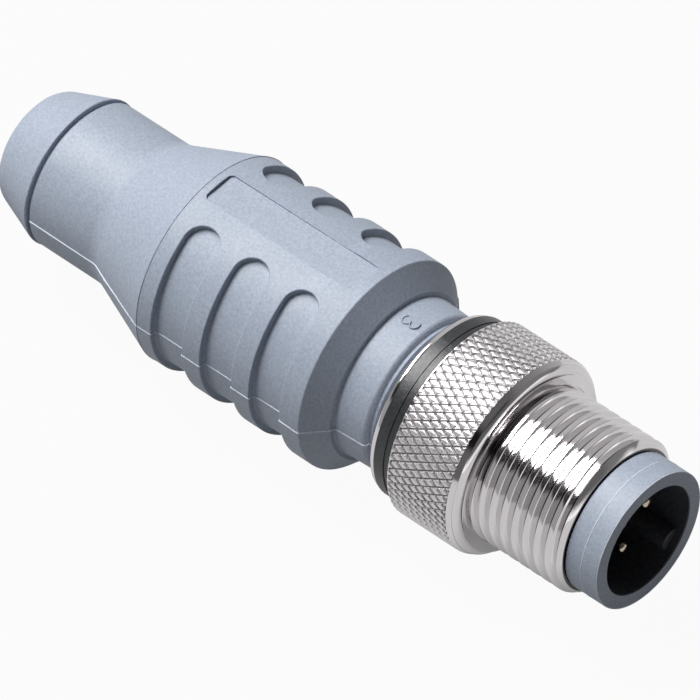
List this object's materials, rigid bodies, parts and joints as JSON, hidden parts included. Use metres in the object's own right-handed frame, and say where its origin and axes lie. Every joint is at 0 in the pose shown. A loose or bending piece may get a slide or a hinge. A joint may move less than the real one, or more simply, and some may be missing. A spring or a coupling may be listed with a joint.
{
  "type": "termination resistor plug",
  "caption": "Round screw-on plug with male contacts, ribbed moulded grip and knurled coupling nut, that closes a bus line with a resistor.",
  "frame": {"origin": "on the plug's axis, in the plane of the nut's front shoulder, where the coupling thread begins", "axes": "+X along the axis towards the contacts, +Z towards the label panel on the grip, +Y completes the frame"},
  "size_m": [0.0561, 0.0162, 0.0162],
  "materials": {
    "moulded_grey": "fine satin moulded surface",
    "cap_grey": "fine satin moulded surface",
    "head_grey": "fine satin moulded surface",
    "nickel_nut": "bright nickel plate on turned brass",
    "ring_black": "semi-gloss",
    "carrier_black": "satin",
    "gold_contact": "gold plate on turned brass",
    "resistor_coat": "lacquer",
    "tinned_wire": "tinned",
    "insulation": "plain",
    "solder": "plain",
    "potting": "plain"
  },
  "bodies": {
    "plug": {"grip_body": "moulded_grey", "end_cap": "cap_grey", "head_ring": "head_grey", "contact_carrier": "carrier_black", "contact_pin_1": "gold_contact", "contact_pin_2": "gold_contact", "contact_pin_3": "gold_contact", "contact_pin_4": "gold_contact", "contact_pin_5": "gold_contact", "resistor_body": "resistor_coat", "resistor_lead_4": "tinned_wire", "resistor_lead_5": "tinned_wire", "lead_insulation": "insulation", "solder_joint_4": "solder", "solder_joint_5": "solder", "inner_mould": "potting"},
    "nut": {"coupling_nut": "nickel_nut", "nut_ring": "ring_black"}
  },
  "joints": [
    {"name": "nut_spin", "type": "hinge", "parent": "plug", "child": "nut", "pos_m": [0, 0, 0], "axis": [1, 0, 0], "continuous": true}
  ]
}
